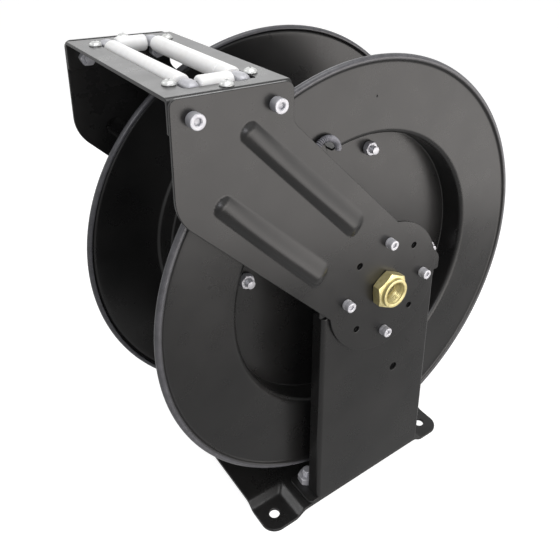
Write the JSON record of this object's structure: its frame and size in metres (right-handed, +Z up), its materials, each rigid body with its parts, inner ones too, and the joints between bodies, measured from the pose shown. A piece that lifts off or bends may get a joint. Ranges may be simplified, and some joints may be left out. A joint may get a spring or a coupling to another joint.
{
  "type": "pressure washer hose reel",
  "caption": "Spring-driven hose reel with a dished drum between two pedestals on a footed base, and a sloping pair of arms that carries a roller guide over the drum.",
  "frame": {"origin": "on the floor, below the middle of the drum's axis", "axes": "+Z up, +Y along the drum's axis from the brass inlet to the spring side, +X away from the side that the roller arm leans to"},
  "size_m": [0.45, 0.254, 0.48],
  "materials": {
    "black_paint": "gloss",
    "zinc_plate": "satin",
    "brass": "satin",
    "steel": "satin",
    "white_nylon": "satin",
    "rubber": "matte",
    "spring_steel": "satin"
  },
  "bodies": {
    "frame": {"anchor_bolt_1": "zinc_plate", "anchor_bolt_2": "zinc_plate", "anchor_bolt_3": "zinc_plate", "anchor_bolt_4": "zinc_plate", "base_plate": "black_paint", "bracket_screw_1": "zinc_plate", "bracket_screw_2": "zinc_plate", "bracket_screw_3": "zinc_plate", "bracket_screw_4": "zinc_plate", "front_arm": "black_paint", "front_hub_flange": "black_paint", "front_pedestal": "black_paint", "guide_bolt_1": "zinc_plate", "guide_bolt_2": "zinc_plate", "guide_bolt_3": "zinc_plate", "guide_bolt_4": "zinc_plate", "guide_bolt_5": "zinc_plate", "guide_bolt_6": "zinc_plate", "hub_screw_front_1": "zinc_plate", "hub_screw_front_2": "zinc_plate", "hub_screw_front_3": "zinc_plate", "hub_screw_front_4": "zinc_plate", "hub_screw_rear_1": "zinc_plate", "hub_screw_rear_2": "zinc_plate", "hub_screw_rear_3": "zinc_plate", "hub_screw_rear_4": "zinc_plate", "inlet_spindle": "brass", "main_shaft": "steel", "pawl_pin": "zinc_plate", "pawl_spring": "spring_steel", "rear_arm": "black_paint", "rear_hub_flange": "black_paint", "rear_pedestal": "black_paint", "roller_bracket": "black_paint", "roller_carrier": "black_paint", "roller_pin_front": "steel", "roller_pin_left": "steel", "roller_pin_rear": "steel", "roller_pin_right": "steel", "swivel_seal": "rubber"},
    "drum": {"drum_core": "black_paint", "front_disc": "black_paint", "hose_fitting": "zinc_plate", "outlet_pipe": "steel", "outlet_trim": "rubber", "power_spring": "spring_steel", "ratchet_wheel": "zinc_plate", "rear_bearing": "white_nylon", "rear_disc": "black_paint", "spring_case": "steel", "swivel_housing": "zinc_plate", "tie_stud_1": "zinc_plate", "tie_stud_2": "zinc_plate", "tie_stud_3": "zinc_plate", "tie_stud_4": "zinc_plate"},
    "pawl": {"pawl": "zinc_plate"},
    "roller_left_body": {"roller_left": "white_nylon"},
    "roller_right_body": {"roller_right": "white_nylon"},
    "roller_front_body": {"roller_front": "white_nylon"},
    "roller_rear_body": {"roller_rear": "white_nylon"}
  },
  "joints": [
    {"name": "drum_spin", "type": "hinge", "parent": "frame", "child": "drum", "pos_m": [0, 0.00275, 0.25], "axis": [0, 1, 0], "range_deg": [0, 5040], "stiffness_Nm_per_rad": 0.12, "springref_deg": -1145.92},
    {"name": "pawl_pivot", "type": "hinge", "parent": "frame", "child": "pawl", "pos_m": [0.0235, 0.079, 0.139], "axis": [0, -1, 0], "range_deg": [-20, 17], "stiffness_Nm_per_rad": 0.2},
    {"name": "roller_left_spin", "type": "hinge", "parent": "frame", "child": "roller_left_body", "pos_m": [-0.1843, 0, 0.4724], "axis": [0, 1, 0], "continuous": true},
    {"name": "roller_right_spin", "type": "hinge", "parent": "frame", "child": "roller_right_body", "pos_m": [-0.1413, 0, 0.4724], "axis": [0, 1, 0], "continuous": true},
    {"name": "roller_front_spin", "type": "hinge", "parent": "frame", "child": "roller_front_body", "pos_m": [-0.1628, -0.0805, 0.4724], "axis": [1, 0, 0], "continuous": true},
    {"name": "roller_rear_spin", "type": "hinge", "parent": "frame", "child": "roller_rear_body", "pos_m": [-0.1628, 0.0805, 0.4724], "axis": [1, 0, 0], "continuous": true}
  ]
}
